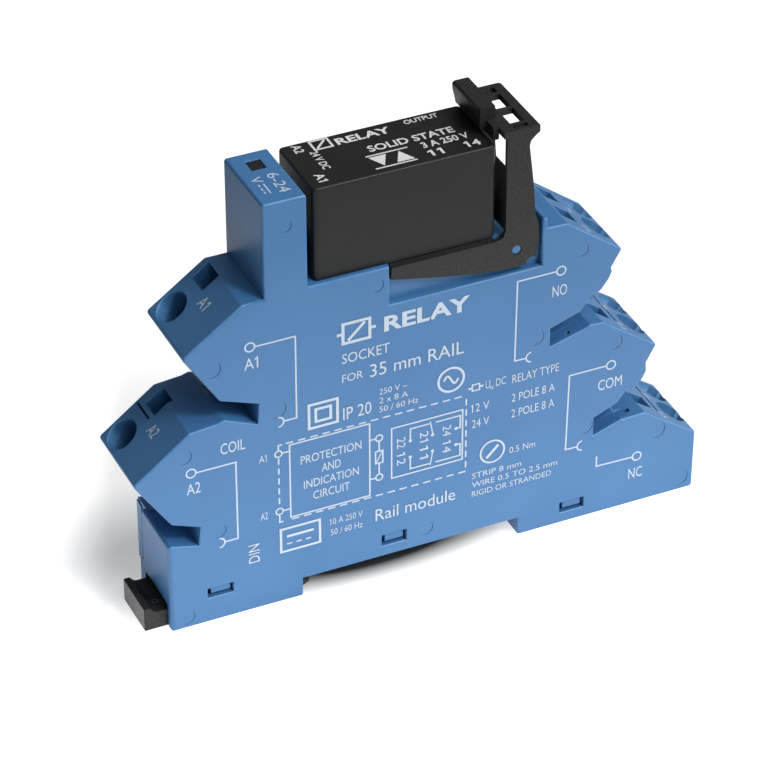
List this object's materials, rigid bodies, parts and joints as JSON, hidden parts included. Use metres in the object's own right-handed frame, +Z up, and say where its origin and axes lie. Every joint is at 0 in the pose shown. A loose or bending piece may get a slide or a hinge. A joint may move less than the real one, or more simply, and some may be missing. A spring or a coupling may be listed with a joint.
{
  "type": "plug in relay",
  "caption": "Narrow relay plugged into a stepped DIN-rail socket with a release lever, slanted screw terminals on both ends, a sprung rail clip and an indicator window.",
  "frame": {"origin": "middle of the face that sits on the DIN rail, at mid thickness", "axes": "+X along the module from the coil terminals to the contact terminals, +Y through its thickness from the printed face to the cover, +Z up from the rail"},
  "size_m": [0.0938, 0.014, 0.0759],
  "materials": {
    "housing": "blue moulded, fine satin",
    "black": "black moulded, satin",
    "steel": "zinc plated",
    "brass": "rolled strip",
    "board": "circuit board with solder mask",
    "lens": "dark clear",
    "led": "green tinted",
    "component": "moulded",
    "varistor": "dipped coating"
  },
  "bodies": {
    "housing": {"housing_shell": "housing", "back_cover": "housing", "slider_spring": "steel", "strip_24": "brass", "strip_14": "brass", "strip_21": "brass", "strip_11": "brass", "strip_22": "brass", "strip_12": "brass", "strip_a1": "brass", "strip_a2": "brass", "socket_contact_a1": "brass", "socket_contact_a2": "brass", "socket_contact_11": "brass", "socket_contact_14": "brass", "module_board": "board", "status_led": "led", "light_window": "lens", "protection_diode": "component", "series_resistor": "component", "bridge_rectifier": "component", "varistor": "varistor"},
    "relay": {"relay_case": "black", "relay_base": "black", "relay_pin_a1": "brass", "relay_pin_a2": "brass", "relay_pin_11": "brass", "relay_pin_14": "brass", "relay_board": "board", "relay_power_switch": "component", "relay_optocoupler": "component", "relay_heat_plate": "steel"},
    "lever": {"release_lever": "black"},
    "clip": {"rail_slider": "black"},
    "screw_24": {"screw_24": "steel"},
    "cage_24": {"cage_24": "steel"},
    "screw_14": {"screw_14": "steel"},
    "cage_14": {"cage_14": "steel"},
    "screw_21": {"screw_21": "steel"},
    "cage_21": {"cage_21": "steel"},
    "screw_11": {"screw_11": "steel"},
    "cage_11": {"cage_11": "steel"},
    "screw_22": {"screw_22": "steel"},
    "cage_22": {"cage_22": "steel"},
    "screw_12": {"screw_12": "steel"},
    "cage_12": {"cage_12": "steel"},
    "screw_a1": {"screw_a1": "steel"},
    "cage_a1": {"cage_a1": "steel"},
    "screw_a2": {"screw_a2": "steel"},
    "cage_a2": {"cage_a2": "steel"}
  },
  "joints": [
    {"name": "lever_turn", "type": "hinge", "parent": "housing", "child": "lever", "pos_m": [0.017, 0, 0.04986], "axis": [0, 1, 0], "range_deg": [0, 10]},
    {"name": "relay_lift", "type": "slide", "parent": "housing", "child": "relay", "axis": [0, 0, 1], "range_m": [0, 0.0035]},
    {"name": "clip_pull", "type": "slide", "parent": "housing", "child": "clip", "axis": [-1, 0, 0], "range_m": [0, 0.003], "stiffness_N_per_m": 400, "springref_m": -0.002, "deforming": ["slider_spring"]},
    {"name": "screw_turn_24", "type": "hinge", "parent": "housing", "child": "screw_24", "pos_m": [0.03249, 0.0037, 0.04694], "axis": [-0.5966, 0, -0.8026], "range_deg": [0, 880]},
    {"name": "cage_lift_24", "type": "slide", "parent": "housing", "child": "cage_24", "axis": [0.5966, 0, 0.8026], "range_m": [0, 0.00118]},
    {"name": "screw_turn_14", "type": "hinge", "parent": "housing", "child": "screw_14", "pos_m": [0.03249, -0.0023, 0.04694], "axis": [-0.5966, 0, -0.8026], "range_deg": [0, 880]},
    {"name": "cage_lift_14", "type": "slide", "parent": "housing", "child": "cage_14", "axis": [0.5966, 0, 0.8026], "range_m": [0, 0.00118]},
    {"name": "screw_turn_21", "type": "hinge", "parent": "housing", "child": "screw_21", "pos_m": [0.03922, 0.0037, 0.02761], "axis": [-0.5775, 0, -0.8164], "range_deg": [0, 880]},
    {"name": "cage_lift_21", "type": "slide", "parent": "housing", "child": "cage_21", "axis": [0.5775, 0, 0.8164], "range_m": [0, 0.00118]},
    {"name": "screw_turn_11", "type": "hinge", "parent": "housing", "child": "screw_11", "pos_m": [0.03922, -0.0023, 0.02761], "axis": [-0.5775, 0, -0.8164], "range_deg": [0, 880]},
    {"name": "cage_lift_11", "type": "slide", "parent": "housing", "child": "cage_11", "axis": [0.5775, 0, 0.8164], "range_m": [0, 0.00118]},
    {"name": "screw_turn_22", "type": "hinge", "parent": "housing", "child": "screw_22", "pos_m": [0.047, 0.0037, 0.00874], "axis": [-0.5701, 0, -0.8215], "range_deg": [0, 880]},
    {"name": "cage_lift_22", "type": "slide", "parent": "housing", "child": "cage_22", "axis": [0.5701, 0, 0.8215], "range_m": [0, 0.00118]},
    {"name": "screw_turn_12", "type": "hinge", "parent": "housing", "child": "screw_12", "pos_m": [0.047, -0.0023, 0.00874], "axis": [-0.5701, 0, -0.8215], "range_deg": [0, 880]},
    {"name": "cage_lift_12", "type": "slide", "parent": "housing", "child": "cage_12", "axis": [0.5701, 0, 0.8215], "range_m": [0, 0.00118]},
    {"name": "screw_turn_a1", "type": "hinge", "parent": "housing", "child": "screw_a1", "pos_m": [-0.03239, 0.0037, 0.04574], "axis": [0.582, 0, -0.8132], "range_deg": [0, 880]},
    {"name": "cage_lift_a1", "type": "slide", "parent": "housing", "child": "cage_a1", "axis": [-0.582, 0, 0.8132], "range_m": [0, 0.00118]},
    {"name": "screw_turn_a2", "type": "hinge", "parent": "housing", "child": "screw_a2", "pos_m": [-0.04095, 0.0037, 0.02559], "axis": [0.6042, 0, -0.7968], "range_deg": [0, 880]},
    {"name": "cage_lift_a2", "type": "slide", "parent": "housing", "child": "cage_a2", "axis": [-0.6042, 0, 0.7968], "range_m": [0, 0.00118]}
  ],
  "couplings": [
    {"joint": "lever_turn", "follows": "relay_lift", "rad_per_m": 49.261},
    {"joint": "screw_turn_24", "follows": "cage_lift_24", "rad_per_m": 12566},
    {"joint": "screw_turn_14", "follows": "cage_lift_14", "rad_per_m": 12566},
    {"joint": "screw_turn_21", "follows": "cage_lift_21", "rad_per_m": 12566},
    {"joint": "screw_turn_11", "follows": "cage_lift_11", "rad_per_m": 12566},
    {"joint": "screw_turn_22", "follows": "cage_lift_22", "rad_per_m": 12566},
    {"joint": "screw_turn_12", "follows": "cage_lift_12", "rad_per_m": 12566},
    {"joint": "screw_turn_a1", "follows": "cage_lift_a1", "rad_per_m": 12566},
    {"joint": "screw_turn_a2", "follows": "cage_lift_a2", "rad_per_m": 12566}
  ]
}
